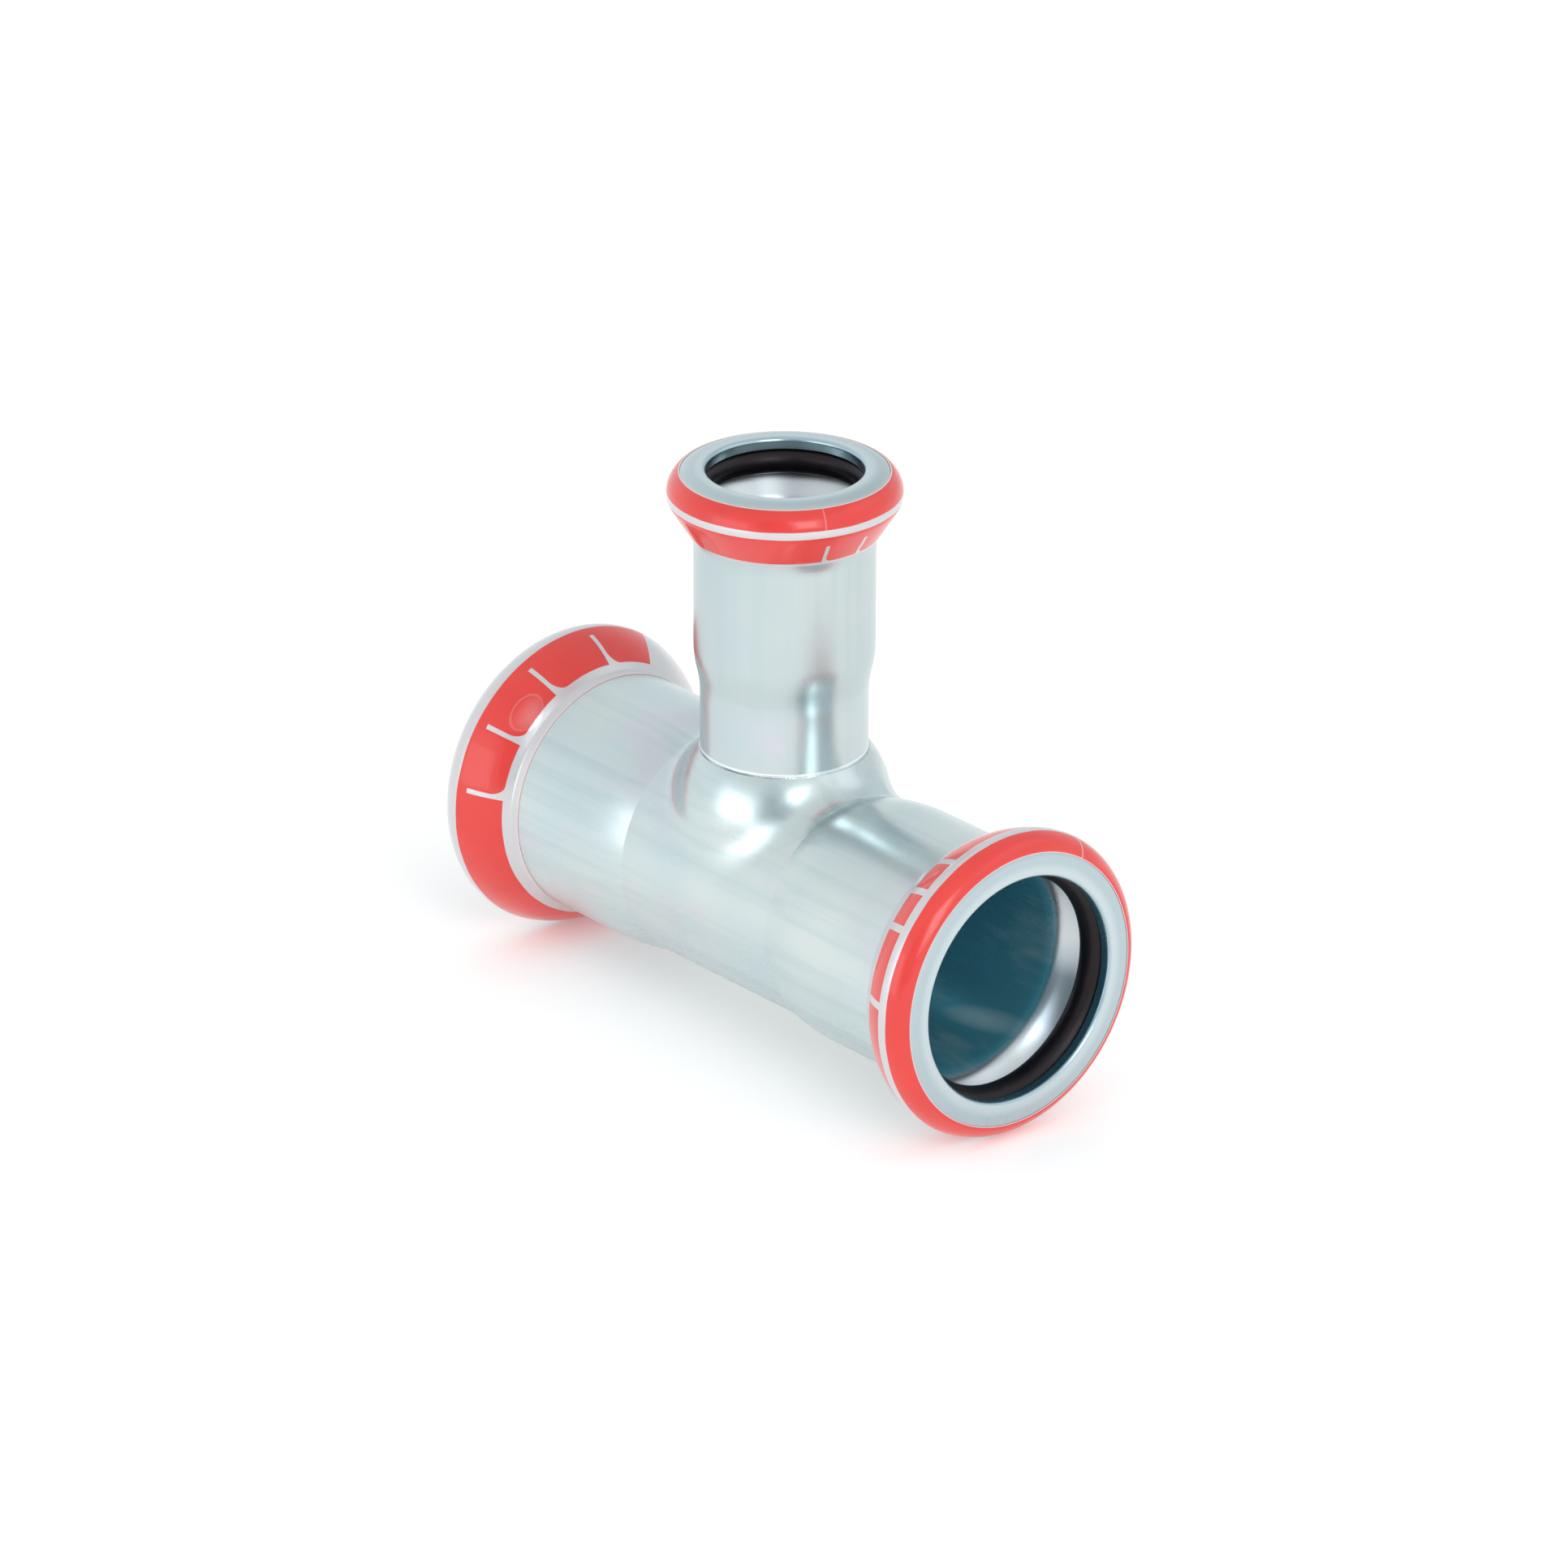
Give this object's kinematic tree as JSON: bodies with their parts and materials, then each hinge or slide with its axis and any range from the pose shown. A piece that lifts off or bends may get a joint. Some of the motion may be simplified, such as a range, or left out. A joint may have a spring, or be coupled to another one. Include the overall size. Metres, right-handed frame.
{
  "type": "reducing press tee",
  "caption": "Steel reducing press tee with beaded sockets on the run and a smaller beaded branch socket, each with a rubber seal ring inside and a red film band outside.",
  "frame": {"origin": "the point where the run's centre line meets the branch's centre line", "axes": "+X out of the front run socket along the run's centre line, +Z out of the branch socket, +Y across them"},
  "size_m": [0.072, 0.032, 0.0603],
  "materials": {
    "steel": "drawn steel tube with bright zinc plating and a soft blurred reflection",
    "weld": "narrow smooth weld line",
    "seal": "smooth black sealing rubber",
    "film": "thin clear film printed red on its outside"
  },
  "bodies": {
    "root": {"run_body": "steel", "branch_socket": "steel", "weld_seam": "weld", "seal_ring_front": "seal", "seal_ring_back": "seal", "seal_ring_branch": "seal", "indicator_film_front": "film", "indicator_film_back": "film", "indicator_film_branch": "film"}
  },
  "joints": []
}
